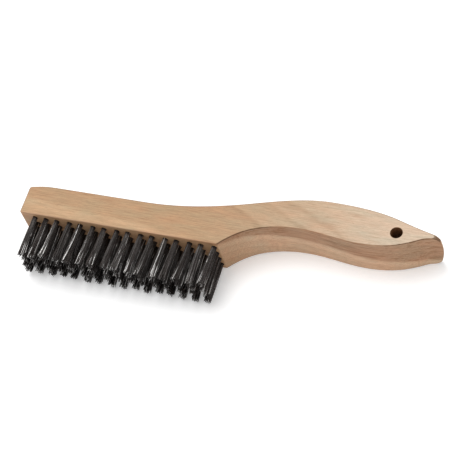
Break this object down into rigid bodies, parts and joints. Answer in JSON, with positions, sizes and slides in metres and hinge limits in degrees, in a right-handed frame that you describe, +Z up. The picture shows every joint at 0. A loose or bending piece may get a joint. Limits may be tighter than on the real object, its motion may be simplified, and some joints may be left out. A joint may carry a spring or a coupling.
{
  "type": "wire scratch brush",
  "caption": "Hand wire scratch brush: dark steel wire tufts stapled into a bare hardwood block with a curved shoe handle and a hang hole.",
  "frame": {"origin": "middle of the footprint, on the surface that the brush lies on, with the brush on its side", "axes": "+X from the toe of the head to the tip of the handle, +Y from the wire tips to the back of the block, +Z up across the width of the block"},
  "size_m": [0.2604, 0.0674, 0.0286],
  "materials": {
    "block_wood": "matte",
    "tuft_wire": "satin",
    "staple_steel": "satin"
  },
  "bodies": {
    "root": {"handle_block": "block_wood", "tuft_row_01": "tuft_wire", "tuft_row_02": "tuft_wire", "tuft_row_03": "tuft_wire", "tuft_row_04": "tuft_wire", "tuft_row_05": "tuft_wire", "tuft_row_06": "tuft_wire", "tuft_row_07": "tuft_wire", "tuft_row_08": "tuft_wire", "tuft_row_09": "tuft_wire", "tuft_row_10": "tuft_wire", "tuft_row_11": "tuft_wire", "tuft_row_12": "tuft_wire", "tuft_row_13": "tuft_wire", "tuft_row_14": "tuft_wire", "tuft_row_15": "tuft_wire", "tuft_row_16": "tuft_wire", "staple_row_01": "staple_steel", "staple_row_02": "staple_steel", "staple_row_03": "staple_steel", "staple_row_04": "staple_steel", "staple_row_05": "staple_steel", "staple_row_06": "staple_steel", "staple_row_07": "staple_steel", "staple_row_08": "staple_steel", "staple_row_09": "staple_steel", "staple_row_10": "staple_steel", "staple_row_11": "staple_steel", "staple_row_12": "staple_steel", "staple_row_13": "staple_steel", "staple_row_14": "staple_steel", "staple_row_15": "staple_steel", "staple_row_16": "staple_steel"}
  },
  "joints": []
}
